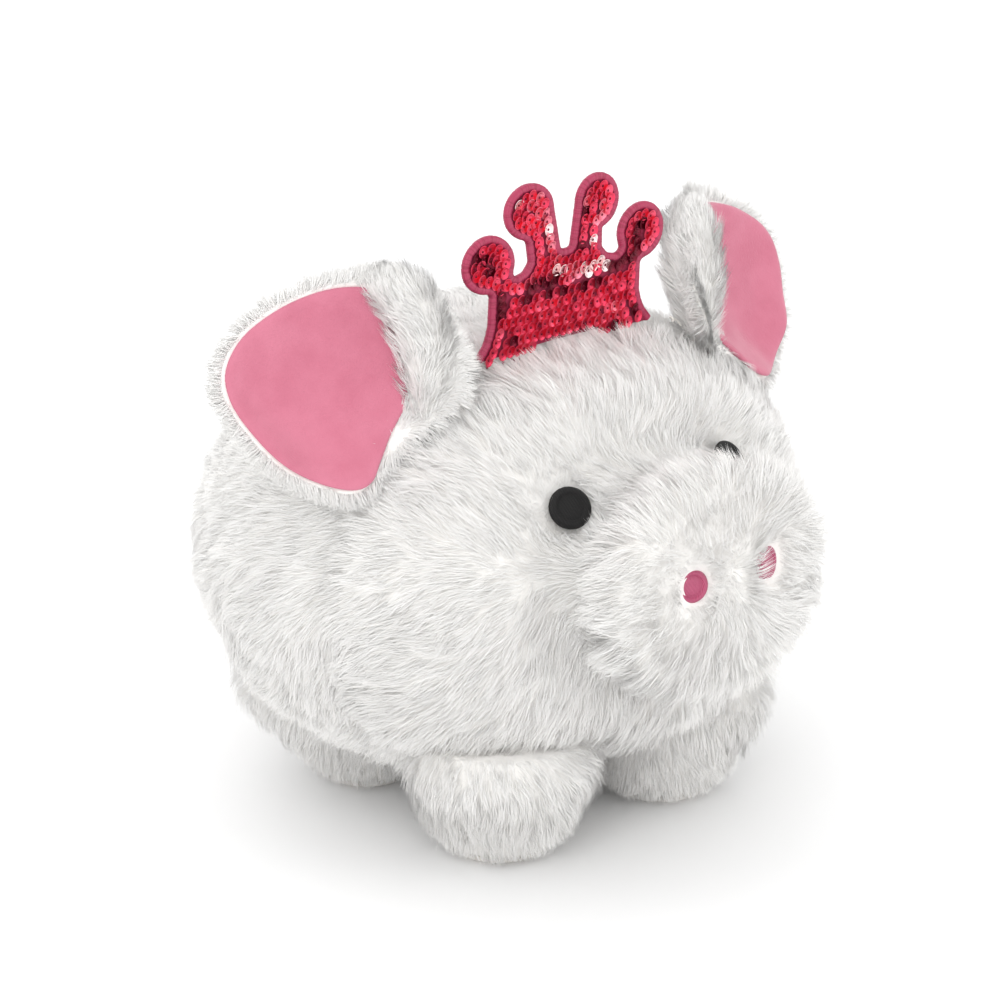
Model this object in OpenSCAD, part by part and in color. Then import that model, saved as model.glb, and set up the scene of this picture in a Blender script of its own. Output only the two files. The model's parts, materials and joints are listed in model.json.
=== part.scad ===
// Plush pig with a sequinned crown: an egg-shaped faux-fur body on four stub feet, a puffed snout,
// velour-lined ears, a crown sewn into the seam across the head, and a curled tail.
// The pig faces -Y, its own left side is +X, and the floor is z = 0. All sizes are millimetres,
// and every plush piece includes the depth of its pile.

/* [Body] */
// Width of the body over the fur
body_w = 204; // [198:1:208]
// Length of the body over the fur, without snout and tail
body_l = 188; // [184:1:192]
// Height of the body over the fur
body_h = 152; // [148:1:154]
// Height of the belly above the floor
belly_gap = 11; // [10:0.5:13]
// Backing cloth and pile together
plush_t = 9; // [7.5:0.5:10]

/* [Snout] */
// Width of the snout
snout_w = 88; // [80:1:92]
// Height of the snout
snout_h = 76; // [70:1:80]
// Radius of each embroidered nostril
nostril_r = 4.8; // [4:0.1:5.5]

/* [Eyes] */
// Radius of each embroidered eye
eye_r = 6.4; // [5.5:0.1:7.5]

/* [Ears] */
// Width of an ear over its fur
ear_w = 78; // [70:1:82]
// Height of an ear above its seam
ear_h = 58; // [52:1:62]
// Width of an ear where it is sewn to the head
ear_seam_w = 48; // [42:1:50]

/* [Crown] */
// Width of the crown at its foot
crown_w = 71.4; // [68:0.2:74]
// Thickness of the crown, front cloth to back cloth
crown_t = 4; // [3.4:0.1:5]
// Width of the satin-stitched border
border_w = 2.6; // [2:0.1:3]

/* [Feet] */
// Radius of a foot over its fur
foot_r = 29; // [26:0.5:29]
// Radius of a sole
sole_r = 19; // [17:0.5:20]

/* [Tail] */
// Radius of the tail's cord
tail_r = 3.6; // [3:0.1:4]
// Turns in the tail's curl
tail_turns = 1.25; // [0.75:0.25:1.5]

/* [Hidden] */
$fn = 96;

LEFT = 1;
RIGHT = -1;
gap = 0.3;            // clearance between neighbouring soft pieces
pin_r = 1.2;          // the stitched cords that the ears, crown and tail turn about
stay_r = 1.7;         // a seam cord's buried ends
stay_depth = 9;       // how far those ends run towards the body's middle
bore_clearance = 0.05;
BIG = 400;

fur_white = [0.95, 0.94, 0.91];
velour_pink = [0.93, 0.50, 0.64];
sequin_red = [0.80, 0.20, 0.34];
border_pink = [0.78, 0.25, 0.42];
thread_black = [0.13, 0.13, 0.14];
thread_pink = [0.88, 0.42, 0.58];
fill_white = [0.98, 0.98, 0.97];

// The body is a sphere of radius UNIT stretched to its three half sizes.
UNIT = 100;
body_half = [body_w, body_l, body_h] / 2;
body_y = 16;
body_mid = [0, body_y, belly_gap + body_half.z];
seam_y = -12;         // the seam across the head, which takes in the ears and the crown
belly_seam_z = 42;

// The snout is a flattened ball set into the front of the face.
snout_half = [snout_w / 2, 22, snout_h / 2];
snout_mid = [0, -75, body_mid.z + 9];
snout_front_y = -84;  // seam between the snout's band and its front
snout_root_y = -62.6; // the band's edge inside the face, at the snout's middle
snout_root_tilt = 8.5;            // that edge leans back at its top, as the face does
snout_squeeze = snout_h / snout_w;
// Half profile of the snout's filling, from its middle outwards: radius and distance forwards.
snout_fill = [[0, 87], [10, 86.4], [18, 84.9], [24, 83.3], [34, 83.3], [34, 55], [0, 55]];
snout_fill_hollow_r = 101;        // the filling's back is hollowed to fit the body's

// An eye and a nostril lie on the backing cloth, facing along these normals.
eye_at = [32.9, -52.2, 120];
eye_normal = [0.307, -0.753, 0.581];
nostril_at = [15.2, -87, 100.4];
nostril_normal = [0.334, -0.935, 0.12];
eye_t = 2.2;
nostril_t = 1.8;

// Left ear's frame: its seam runs along ear_out, the ear stands up along ear_up.
ear_base = [66.8, -10.4, 144.2];
ear_out = unit([0.845, 0.10, -0.523]);
ear_front = unit(cross(ear_out, [0.437, 0.431, 0.789]));
ear_up = cross(ear_front, ear_out);
ear_mid = [6, ear_h - 33];
ear_half = [ear_w / 2, 33];
ear_cup_r = 75;
ear_cup_depth = 4;
ear_back_angle = 28;  // the furry back tapers away from the seam at this angle, to swing backwards
ear_neck_h = 12;
ear_foot = 3;         // the back's own cloth starts this far above the seam, and a narrow neck joins it
lining_t = 1.9;
lining_rim = 8;       // fur that stands out beyond the lining's edge
sleeve_r = 2.6;
fold_r = 7;           // the inner edge of the ear is folded forward in a furry roll
fold_foot = [-23, 8, 4];
fold_top = [-27, 36, 8];

// The crown stands in the plane of the head seam and tilts about its hem.
crown_pin_z = body_mid.z + body_half.z;
crown_foot_z = crown_pin_z - 7.5;
outer_lobe = [30.7, 186, 9.3];   // x, z and radius
inner_lobe = [13.8, 199.8, 9];
notch_outer = [17.5, 181.5];      // lowest points of the notches between the lobes
notch_mid = [2, 186];
notch_round = 1.5;
hem_h = 2.8;
crown_arch_r = 140;
crown_arch_h = 5.2;   // how far the hem's lower edge arches up over the head
crown_side = 30.5;    // half width of the waist under the outer lobes
inner_neck = [4.8, 16.5];         // the two sides of an inner lobe's neck
inner_neck_z = 184;
outer_neck = [25, 179.5];         // where an outer lobe's neck meets the notch beside it

foot_front_at = [34.5, -22];
foot_rear_at = [30, 50];
foot_wall = 7;
sole_t = 1.8;
// A ball that follows the belly closely where the feet are sewn on.
belly_ball_r = 138;

tail_pin_y = 114.5;
tail_z = 95;
tail_curl_r = 7;
tail_curl_l = 17;
tail_step = 15;       // degrees of curl between rings
tail_sides = 10;
tail_sleeve_r = 3.2;

label_w = 16;
label_l = 20;
label_t = 0.6;
label_z = 60;
label_y = 101;

snout_tip_y = snout_mid.y - snout_half.y;
tail_end_y = tail_pin_y + tail_curl_l + tail_r * 0.5;
origin_shift = [0, -(snout_tip_y + tail_end_y) / 2, 0];

function unit(v) = v / norm(v);
function flip(v, side) = [side * v.x, v.y, v.z];
// A length along one axis of the body, measured in the unstretched ball.
function in_ball(v, axis) = (v - body_mid[axis]) * UNIT / body_half[axis];

// ---------- shared helpers ----------

module placed() {
    translate(origin_shift) children();
}

// A round rod between two points.
module rod(a, b, r) {
    v = b - a;
    translate(a)
        rotate([0, acos(v.z / norm(v)), atan2(v.y, v.x)])
            cylinder(r = r, h = norm(v));
}

// A seam cord from a to b, held at both ends by thicker stays that run square to it into the body.
module seam_cord(a, b) {
    along = unit(b - a);
    to_middle = body_mid - (a + b) / 2;
    inwards = unit(to_middle - (to_middle * along) * along);
    rod(a, b, pin_r);
    for (p = [a, b])
        rod(p - stay_r * inwards, p + stay_depth * inwards, stay_r);
}

// Children drawn with +Z along a normal, at a point.
module facing(at, normal) {
    n = unit(normal);
    translate(at)
        rotate([0, acos(n.z), atan2(n.y, n.x)])
            children();
}

// ---------- body ----------

module stretch_body() {
    translate(body_mid) scale(body_half / UNIT) children();
}

module body_shell() {
    inner = [for (h = body_half) (h - plush_t) / h];
    difference() {
        sphere(r = UNIT);
        scale(inner) sphere(r = UNIT);
    }
}

// The half of unstretched space above a height, or behind the head seam.
module above_belly_seam() {
    translate([-BIG, -BIG, in_ball(belly_seam_z, 2)]) cube(2 * BIG);
}

module behind_head_seam() {
    translate([-BIG, in_ball(seam_y, 1), -BIG]) cube(2 * BIG);
}

module face_panel() {
    snout_hole = snout_half.x + gap;
    color(fur_white) placed() difference() {
        stretch_body() difference() {
            intersection() {
                body_shell();
                above_belly_seam();
            }
            behind_head_seam();
        }
        translate([0, snout_mid.y + BIG / 8, snout_mid.z])
            scale([1, 1, snout_squeeze])
                rotate([90, 0, 0]) cylinder(r = snout_hole, h = BIG);
        for (side = [LEFT, RIGHT])
            facing(flip(eye_at, side), flip(eye_normal, side))
                translate([0, 0, -0.1]) cylinder(r = eye_r + gap, h = BIG / 8);
    }
}

module back_panel(side) {
    color(fur_white) placed() difference() {
        on_side(side, RIGHT) stretch_body() intersection() {
            body_shell();
            above_belly_seam();
            behind_head_seam();
            translate([-2 * BIG, -BIG, -BIG]) cube(2 * BIG);
        }
        translate([-label_t / 2 - gap / 2, label_y - gap, label_z - label_w / 2 - gap])
            cube([label_t + gap, label_l, label_w + 2 * gap]);
    }
}

module belly_panel() {
    color(fur_white) placed() stretch_body() difference() {
        body_shell($fn = 48);
        above_belly_seam();
    }
}

module body_stuffing() {
    color(fill_white) placed() translate(body_mid)
        scale([for (h = body_half) (h - plush_t - gap) / UNIT]) sphere(r = UNIT);
}

// ---------- snout ----------

module stretch_snout() {
    translate(snout_mid) scale(snout_half / UNIT) children();
}

function snout_wall(i) = (snout_half[i] - plush_t) / snout_half[i];

// A drum-shaped strip round the snout, from inside the face to the front's seam.
module snout_band() {
    length = 40;
    color(fur_white) placed() translate([0, snout_front_y, snout_mid.z])
        scale([1, 1, snout_squeeze]) difference() {
            rotate([-90, 0, 0]) difference() {
                cylinder(r = snout_half.x, h = length);
                translate([0, 0, -1]) cylinder(r = snout_half.x - plush_t, h = length + 2);
            }
            translate([0, snout_root_y - snout_front_y, 0]) rotate([-snout_root_tilt, 0, 0])
                translate([-BIG, 0, -BIG]) cube(2 * BIG);
        }
}

module snout_front() {
    color(fur_white) placed() difference() {
        stretch_snout() difference() {
            sphere(r = UNIT);
            scale([snout_wall(0), snout_wall(1), snout_wall(2)]) sphere(r = UNIT);
            translate([-BIG, (snout_front_y - snout_mid.y) * UNIT / snout_half.y, -BIG])
                cube(2 * BIG);
        }
        for (side = [LEFT, RIGHT])
            facing(flip(nostril_at, side), flip(nostril_normal, side))
                translate([0, 0, -0.1]) cylinder(r = nostril_r + gap, h = BIG / 8);
    }
}

// A short drum with a domed front and a hollow back.
module snout_stuffing() {
    back_y = body_y - body_half.y + plush_t - 1;
    hollow_z = (body_mid.z - snout_mid.z) / snout_squeeze;
    color(fill_white) placed() translate([0, 0, snout_mid.z])
        scale([1, 1, snout_squeeze]) difference() {
            rotate([90, 0, 0]) rotate_extrude() polygon(snout_fill);
            translate([0, back_y + snout_fill_hollow_r, hollow_z]) sphere(r = snout_fill_hollow_r);
        }
}

// An embroidered disc with a raised ring near its rim.
module stitched_disc(r, t) {
    ring_r = 0.72 * r;
    cylinder(r = r, h = t - 0.6);
    translate([0, 0, t - 0.6]) rotate_extrude()
        polygon([[ring_r - 0.9, 0], [ring_r + 0.9, 0], [ring_r + 0.5, 0.6], [ring_r - 0.5, 0.6]]);
}

module eye(side) {
    color(thread_black) placed()
        facing(flip(eye_at, side), flip(eye_normal, side)) stitched_disc(eye_r, eye_t);
}

module nostril(side) {
    color(thread_pink) placed()
        facing(flip(nostril_at, side), flip(nostril_normal, side))
            stitched_disc(nostril_r, nostril_t);
}

// ---------- ears ----------

// Left ear's own space: x along the seam outwards, y up the ear, z forwards.
module ear_space() {
    multmatrix([
        [ear_out.x, ear_up.x, ear_front.x, ear_base.x],
        [ear_out.y, ear_up.y, ear_front.y, ear_base.y],
        [ear_out.z, ear_up.z, ear_front.z, ear_base.z],
        [0, 0, 0, 1]
    ]) children();
}

// Children drawn for one side, mirrored for the other.
module on_side(side, drawn) {
    if (side == drawn) children();
    else mirror([1, 0, 0]) children();
}

module ear_outline(inset) {
    steps = 40;
    polygon([for (i = [0 : steps - 1]) let (a = 360 * i / steps)
        ear_mid + [(ear_half.x - inset) * cos(a), (ear_half.y - inset) * sin(a)]]);
}

// A layer of the ear's cup, between two radii about a point in front of it.
module ear_layer(inner, outer, inset, foot) {
    intersection() {
        translate([0, 0, -BIG / 8]) linear_extrude(BIG / 4) ear_outline(inset);
        translate([ear_mid.x, ear_mid.y, ear_cup_r - ear_cup_depth]) difference() {
            sphere(r = outer);
            sphere(r = inner);
        }
        translate([-BIG / 2, foot, -BIG / 8]) cube([BIG, BIG / 2, BIG / 4]);
    }
}

// Half-profile of a round-ended roll, from one end's tip to the other's.
function roll_profile(r, l) = let (steps = 4) concat(
    [for (i = [0 : steps]) let (a = 90 * (i / steps - 1)) [r * cos(a), r * sin(a)]],
    [for (i = [0 : steps]) let (a = 90 * i / steps) [r * cos(a), l + r * sin(a)]]);

module ear_fold(grow) {
    run = fold_top - fold_foot;
    facing(fold_foot, run) rotate_extrude() polygon(roll_profile(fold_r + grow, norm(run)));
}

module ear_back(side) {
    half = ear_seam_w / 2;
    color(fur_white) placed() on_side(side, LEFT) ear_space() difference() {
        union() {
            difference() {
                ear_layer(ear_cup_r, ear_cup_r + plush_t, 0, ear_foot);
                rotate([-ear_back_angle, 0, 0])
                    translate([-BIG / 2, -BIG / 2, -BIG / 4]) cube([BIG, BIG, BIG / 4]);
            }
            ear_fold(0);
            translate([2 - half, 0, -3.4]) cube([ear_seam_w - 4, ear_neck_h, 3.2]);
            rod([-half, 0, 0], [half, 0, 0], sleeve_r);
        }
        rod([-half - 9, 0, 0], [half + 9, 0, 0], pin_r + bore_clearance);
    }
}

module ear_lining(side) {
    color(velour_pink) placed() on_side(side, LEFT) ear_space() difference() {
        ear_layer(ear_cup_r - lining_t, ear_cup_r - 0.1, lining_rim, ear_neck_h + gap);
        ear_fold(gap);
    }
}

module ear_seam(side) {
    reach = ear_seam_w / 2 + 2;
    color(fur_white) placed() on_side(side, LEFT)
        seam_cord(ear_base - reach * ear_out, ear_base + reach * ear_out);
}

// ---------- crown ----------

// One half of the outline in the XZ plane, drawn as XY: foot, side, outer lobe, neck, inner lobe.
module crown_half(side) {
    half = crown_w / 2;
    scale([side, 1]) {
        translate([outer_lobe.x, outer_lobe.y]) circle(r = outer_lobe.z);
        translate([inner_lobe.x, inner_lobe.y]) circle(r = inner_lobe.z);
        polygon([
            [-1, crown_foot_z], [half, crown_foot_z], [crown_side + 0.5, crown_pin_z + 2],
            [crown_side, outer_lobe.y], outer_neck, notch_outer,
            [inner_neck[1] - 1.3, inner_neck_z], [inner_neck[1], inner_lobe.y],
            [inner_neck[0], inner_lobe.y], notch_mid, [-1, notch_mid.y]
        ]);
    }
}

// The whole outline; inset moves every edge inwards.
module crown_shape(inset) {
    difference() {
        offset(delta = -inset) offset(r = -notch_round, $fn = 36) offset(r = notch_round, $fn = 36) {
            crown_half(LEFT, $fn = 36);
            crown_half(RIGHT, $fn = 36);
        }
        translate([0, crown_foot_z + crown_arch_h - crown_arch_r]) circle(r = crown_arch_r, $fn = 240);
    }
}

// The stretch of the crown above its hem.
module crown_above_hem(inset) {
    intersection() {
        crown_shape(inset);
        translate([-BIG / 2, crown_pin_z + hem_h]) square(BIG);
    }
}

// Extrudes an outline from one depth to another, front to back.
module crown_layer(from, to) {
    translate([0, seam_y + to, 0]) rotate([90, 0, 0]) linear_extrude(to - from) children();
}

module crown_front() {
    color(sequin_red) placed()
        crown_layer(-crown_t / 2, -crown_t / 5) crown_above_hem(border_w);
}

module crown_core() {
    color(fill_white) placed()
        crown_layer(-crown_t / 5, crown_t / 5) crown_above_hem(border_w);
}

module crown_back() {
    color(border_pink) placed()
        crown_layer(crown_t / 5, crown_t / 2) crown_above_hem(border_w);
}

module crown_border() {
    proud = 0.4;
    color(border_pink) placed()
        crown_layer(-crown_t / 2 - proud, crown_t / 2 + proud) difference() {
            crown_above_hem(0);
            crown_shape(border_w);
        }
}

module crown_hem() {
    half = crown_w / 2 - 5;
    color(border_pink) placed() difference() {
        union() {
            crown_layer(-crown_t / 2, crown_t / 2) difference() {
                crown_shape(0);
                translate([-BIG / 2, crown_pin_z + hem_h]) square(BIG);
            }
            rod([-half, seam_y, crown_pin_z], [half, seam_y, crown_pin_z], sleeve_r);
        }
        rod([-half - 9, seam_y, crown_pin_z], [half + 9, seam_y, crown_pin_z],
            pin_r + bore_clearance);
    }
}

module crown_seam() {
    reach = crown_w / 2 + 3;
    color(border_pink) placed()
        seam_cord([-reach, seam_y, crown_pin_z], [reach, seam_y, crown_pin_z]);
}

// ---------- feet ----------

function foot_at(side, place) = [side * place.x, place.y, 0];

// A round-edged stump; inset thins it all round.
module foot_body(inset, floor_z) {
    r = foot_r - inset;
    steps = 6;
    edge = 9;
    corner = [for (i = [0 : steps]) let (a = 90 * i / steps)
        [r - edge + edge * sin(a), floor_z + edge - edge * cos(a)]];
    rotate_extrude()
        polygon(concat([[0, floor_z]], corner, [[r, 46], [0, 46]]));
}

module belly_ball(grow) {
    translate([0, body_y, belly_gap + belly_ball_r]) sphere(r = belly_ball_r + grow);
}

module foot(side, place) {
    at = foot_at(side, place);
    color(fur_white) placed() difference() {
        translate(at) foot_body(0, 0);
        translate(at) foot_body(foot_wall, foot_wall);
        translate(at) translate([0, 0, -1]) cylinder(r = sole_r + gap / 2, h = foot_wall + 4);
        belly_ball(0);
    }
}

module sole(side, place) {
    color(fur_white) placed() translate(foot_at(side, place)) cylinder(r = sole_r, h = sole_t);
}

module foot_stuffing(side, place) {
    at = foot_at(side, place);
    room = 1;
    color(fill_white) placed() difference() {
        union() {
            translate(at) foot_body(foot_wall + room, foot_wall + room);
            translate(at) translate([0, 0, sole_t]) cylinder(r = sole_r - room, h = foot_wall);
        }
        belly_ball(room);
    }
}

// ---------- tail and label ----------

// Centre line of the curl: a helix that leaves the sleeve at its top and winds backwards.
function tail_point(a) = [tail_curl_r * sin(a),
    tail_pin_y + tail_curl_l * a / (360 * tail_turns), tail_z + tail_curl_r * (cos(a) - 1)];

// The cord narrows towards its tip.
function tail_radius(a) = tail_r * (1 - 0.45 * a / (360 * tail_turns));

function tail_ring(a) =
    let (t = unit(tail_point(a + 1) - tail_point(a - 1)),
         s = unit(cross(t, [0, 0, 1])), n = cross(s, t), r = tail_radius(a))
    [for (i = [0 : tail_sides - 1]) let (b = 360 * i / tail_sides)
        tail_point(a) + r * (cos(b) * s + sin(b) * n)];

module tail() {
    last = 360 * tail_turns / tail_step;
    rings = [for (i = [0 : last]) tail_ring(i * tail_step)];
    points = [for (ring = rings) each ring];
    faces = concat(
        [[for (i = [tail_sides - 1 : -1 : 0]) i]],
        [for (k = [0 : last - 1], i = [0 : tail_sides - 1])
            let (j = (i + 1) % tail_sides, p = k * tail_sides, q = p + tail_sides)
            [p + j, q + j, q + i, p + i]],
        [[for (i = [0 : tail_sides - 1]) last * tail_sides + i]]);
    color(velour_pink) placed() difference() {
        union() {
            polyhedron(points, faces);
            rod([-5, tail_pin_y, tail_z], [5, tail_pin_y, tail_z], tail_sleeve_r);
        }
        rod([-20, tail_pin_y, tail_z], [20, tail_pin_y, tail_z], pin_r + bore_clearance);
    }
}

// The tail's seam is wider than its curl, so that the curl turns between the two stays.
module tail_seam() {
    reach = tail_curl_r + 5;
    color(velour_pink) placed()
        seam_cord([-reach, tail_pin_y, tail_z], [reach, tail_pin_y, tail_z]);
}

module care_label() {
    color(fill_white) placed()
        translate([-label_t / 2, label_y, label_z - label_w / 2]) cube([label_t, label_l, label_w]);
}

face_panel();
back_panel(LEFT);  // back_panel_left
back_panel(RIGHT);  // back_panel_right
belly_panel();
body_stuffing();
snout_band();
snout_front();
snout_stuffing();
eye(LEFT);  // eye_left
eye(RIGHT);  // eye_right
nostril(LEFT);  // nostril_left
nostril(RIGHT);  // nostril_right
ear_back(LEFT);  // ear_left_back
ear_lining(LEFT);  // ear_left_lining
ear_seam(LEFT);  // ear_left_seam
ear_back(RIGHT);  // ear_right_back
ear_lining(RIGHT);  // ear_right_lining
ear_seam(RIGHT);  // ear_right_seam
crown_front();
crown_back();
crown_core();
crown_border();
crown_hem();
crown_seam();
foot(LEFT, foot_front_at);  // foot_front_left
foot(RIGHT, foot_front_at);  // foot_front_right
foot(LEFT, foot_rear_at);  // foot_rear_left
foot(RIGHT, foot_rear_at);  // foot_rear_right
sole(LEFT, foot_front_at);  // sole_front_left
sole(RIGHT, foot_front_at);  // sole_front_right
sole(LEFT, foot_rear_at);  // sole_rear_left
sole(RIGHT, foot_rear_at);  // sole_rear_right
foot_stuffing(LEFT, foot_front_at);  // foot_stuffing_front_left
foot_stuffing(RIGHT, foot_front_at);  // foot_stuffing_front_right
foot_stuffing(LEFT, foot_rear_at);  // foot_stuffing_rear_left
foot_stuffing(RIGHT, foot_rear_at);  // foot_stuffing_rear_right
tail();
tail_seam();
care_label();
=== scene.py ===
"""Looks of the plush pig with a sequinned crown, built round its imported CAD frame.

Lengths inside this script are millimetres in the row frame: the pig faces -Y, its left is +X and the floor is
z = 0. The white pile is made of real tapered strands that are combed, clumped and rooted on sewn skins.
"""
import json
import math

import bmesh
import bpy
import numpy as np
from mathutils import Matrix, Vector


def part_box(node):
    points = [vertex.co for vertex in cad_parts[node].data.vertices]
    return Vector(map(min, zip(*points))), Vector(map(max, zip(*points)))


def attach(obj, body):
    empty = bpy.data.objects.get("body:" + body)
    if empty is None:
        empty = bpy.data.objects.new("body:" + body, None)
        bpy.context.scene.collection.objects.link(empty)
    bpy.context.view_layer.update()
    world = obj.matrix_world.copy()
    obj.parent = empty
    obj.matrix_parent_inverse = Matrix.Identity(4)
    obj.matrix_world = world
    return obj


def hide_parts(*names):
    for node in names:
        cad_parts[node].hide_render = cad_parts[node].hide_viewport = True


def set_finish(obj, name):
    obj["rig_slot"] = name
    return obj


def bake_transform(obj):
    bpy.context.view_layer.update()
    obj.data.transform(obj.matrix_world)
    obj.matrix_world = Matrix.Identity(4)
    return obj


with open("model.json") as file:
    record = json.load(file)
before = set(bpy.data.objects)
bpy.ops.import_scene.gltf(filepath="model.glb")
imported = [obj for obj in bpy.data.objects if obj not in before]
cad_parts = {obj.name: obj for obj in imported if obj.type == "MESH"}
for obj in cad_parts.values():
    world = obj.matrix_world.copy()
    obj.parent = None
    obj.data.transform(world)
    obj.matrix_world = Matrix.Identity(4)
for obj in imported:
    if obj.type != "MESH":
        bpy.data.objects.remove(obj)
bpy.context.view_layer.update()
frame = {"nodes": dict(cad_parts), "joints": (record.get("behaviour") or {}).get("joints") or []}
MM = 0.001
SEED = 20


# ------------ frame facts
def box(node):
    lo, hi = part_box(node)
    return np.array(lo) / MM, np.array(hi) / MM


def mid(node):
    lo, hi = box(node)
    return (lo + hi) / 2


JOINTS = {j["name"]: j for j in frame["joints"]}


def pivot(joint):
    return np.array(JOINTS[joint]["pos_m"]) / MM


def unit(v):
    v = np.asarray(v, float)
    return v / np.maximum(np.linalg.norm(v, axis=-1, keepdims=True), 1e-9)


UNDERFUR = 4.6                              # the skins are drawn out by the dense short fur at the roots
PILE = 4.4                                  # depth of the combed pile over a skin
_lo, _hi = box("body_stuffing")
BODY = (_lo + _hi) / 2
HALF = (_hi - _lo) / 2 + 1.3 + UNDERFUR     # half sizes of the body's skin
SEAM_Y = pivot("crown_tilt")[1]             # the seam across the head
BELLY_Z = box("belly_panel")[1][2]          # the seam round the belly
_lo, _hi = box("snout_band")
SNOUT = np.array([0.0, _lo[1], (_lo[2] + _hi[2]) / 2 + 1.2])
SNOUT_R = np.array([_hi[0] - PILE - 0.8, 0, (_hi[2] - _lo[2]) / 2 - PILE - 1.8])
SNOUT_TIP = box("snout_front")[0][1] + PILE + 1.4
SIDES = {"left": 1, "right": -1}
EYES = {s: mid("eye_" + s) for s in SIDES}
EYE_R = 6.6
NOSTRILS = {s: mid("nostril_" + s) + [0, 1.2, 0.5] for s in SIDES}
NOSTRIL_R = 5.4
FEET = {n: mid("sole_" + n) for n in ("front_left", "front_right", "rear_left", "rear_right")}
CREST_Z, LOW_Z, RUMP_Y = 128, 66, 25        # where the body's pile is parted into pieces


# ------------ materials
def principled(name, color, roughness=0.7, **sockets):
    m = bpy.data.materials.new(name)
    m.use_nodes = True
    b = m.node_tree.nodes["Principled BSDF"]
    b.inputs["Base Color"].default_value = (*color, 1)
    b.inputs["Roughness"].default_value = roughness
    for key, value in sockets.items():
        b.inputs[key.replace("_", " ")].default_value = value
    return m


def node(m, kind, **inputs):
    n = m.node_tree.nodes.new("ShaderNode" + kind)
    for key, value in inputs.items():
        n.inputs[key.replace("_", " ")].default_value = value
    return n


def two_tones(m, value, dark, light, start=0.0, end=1.0):
    """Colours a material from dark to light as a texture's value goes from start to end."""
    ramp = node(m, "ValToRGB")
    for stop, at, tone in zip(ramp.color_ramp.elements, (start, end), (dark, light)):
        stop.position = at
        stop.color = (*tone, 1)
    m.node_tree.links.new(value, ramp.inputs["Fac"])
    m.node_tree.links.new(ramp.outputs["Color"], m.node_tree.nodes["Principled BSDF"].inputs["Base Color"])


def bumps(m, height, strength, depth):
    bump = node(m, "Bump", Strength=strength, Distance=depth)
    m.node_tree.links.new(height, bump.inputs["Height"])
    m.node_tree.links.new(bump.outputs["Normal"], m.node_tree.nodes["Principled BSDF"].inputs["Normal"])


def mottled(name, dark, light, scale, roughness, bump_scale, bump, depth=0.0003, **sockets):
    """Cloth whose colour drifts between two tones, with a fine bump."""
    m = principled(name, light, roughness, **sockets)
    co = node(m, "TexCoord").outputs["Object"]
    noise = node(m, "TexNoise", Scale=scale, Detail=4.0)
    m.node_tree.links.new(co, noise.inputs["Vector"])
    two_tones(m, noise.outputs["Fac"], dark, light, 0.35, 0.65)
    fine = node(m, "TexNoise", Scale=bump_scale, Detail=2.0)
    m.node_tree.links.new(co, fine.inputs["Vector"])
    bumps(m, fine.outputs["Fac"], bump, depth)
    return m


def threaded(name, dark, light, pitch, turn, roughness=0.45, strength=0.8, **sockets):
    """Satin stitch: close parallel threads of a given pitch in mm, laid along a turned direction."""
    m = principled(name, light, roughness, **sockets)
    way = node(m, "Mapping", Rotation=turn)
    m.node_tree.links.new(node(m, "TexCoord").outputs["Object"], way.inputs["Vector"])
    waves = math.pi * 0.1 / (pitch * MM)
    wave = node(m, "TexWave", Scale=waves, Distortion=1.2, Detail=2.0, Detail_Scale=1.5)
    m.node_tree.links.new(way.outputs["Vector"], wave.inputs["Vector"])
    two_tones(m, wave.outputs["Fac"], dark, light)
    bumps(m, wave.outputs["Fac"], strength, 0.00015)
    return m


# The backing is the plush's own warm white, set a little darker and warmer than the pile as painted warm
# shade in the depth between strands.
SKIN = mottled("plush_backing", (0.90, 0.88, 0.845), (0.94, 0.925, 0.90), 60, 0.95, 900, 0.4)
PILES = [principled("pile_" + tone, color, 0.8)
         for tone, color in (("bright", (0.962, 0.953, 0.937)), ("white", (0.952, 0.941, 0.922)),
                             ("warm", (0.942, 0.926, 0.90)), ("cream", (0.932, 0.912, 0.88)),
                             ("clear", (0.968, 0.962, 0.95)))]
VELOUR = mottled("ear_velour", (0.55, 0.158, 0.232), (0.60, 0.188, 0.268), 90, 0.9, 1500, 0.6, 0.0004,
                 Sheen_Weight=0.5, Sheen_Roughness=0.4)
TAIL_VELOUR = mottled("tail_velour", (0.50, 0.14, 0.21), (0.57, 0.175, 0.25), 150, 0.9, 1400, 0.6, 0.0004,
                      Sheen_Weight=0.5, Sheen_Roughness=0.4)
FELT = mottled("crown_felt", (0.20, 0.012, 0.04), (0.30, 0.02, 0.06), 180, 0.95, 1600, 0.6, 0.0003)
SATIN = principled("border_satin", (0.39, 0.028, 0.086), 0.45)
SATIN_DARK = principled("border_satin_dark", (0.31, 0.018, 0.06), 0.5)
EYE_THREAD = threaded("eye_thread", (0.004, 0.004, 0.004), (0.015, 0.014, 0.014), 0.42, (0, 0, 0.5), 0.6, 0.8,
                      Specular_IOR_Level=0.3)
NOSTRIL_THREAD = threaded("nostril_thread", (0.38, 0.055, 0.13), (0.56, 0.115, 0.215), 0.42, (0, 0, 0.3), 0.4)
STITCH = principled("seam_thread", (0.80, 0.77, 0.72), 0.6, Sheen_Weight=0.2)
SOLE = mottled("sole_plush", (0.78, 0.74, 0.69), (0.88, 0.85, 0.81), 140, 0.9, 1300, 0.5, 0.0004)
LABEL = threaded("label_satin", (0.80, 0.79, 0.77), (0.90, 0.895, 0.88), 0.3, (0, 0, 0), 0.35, 0.3)
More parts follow.
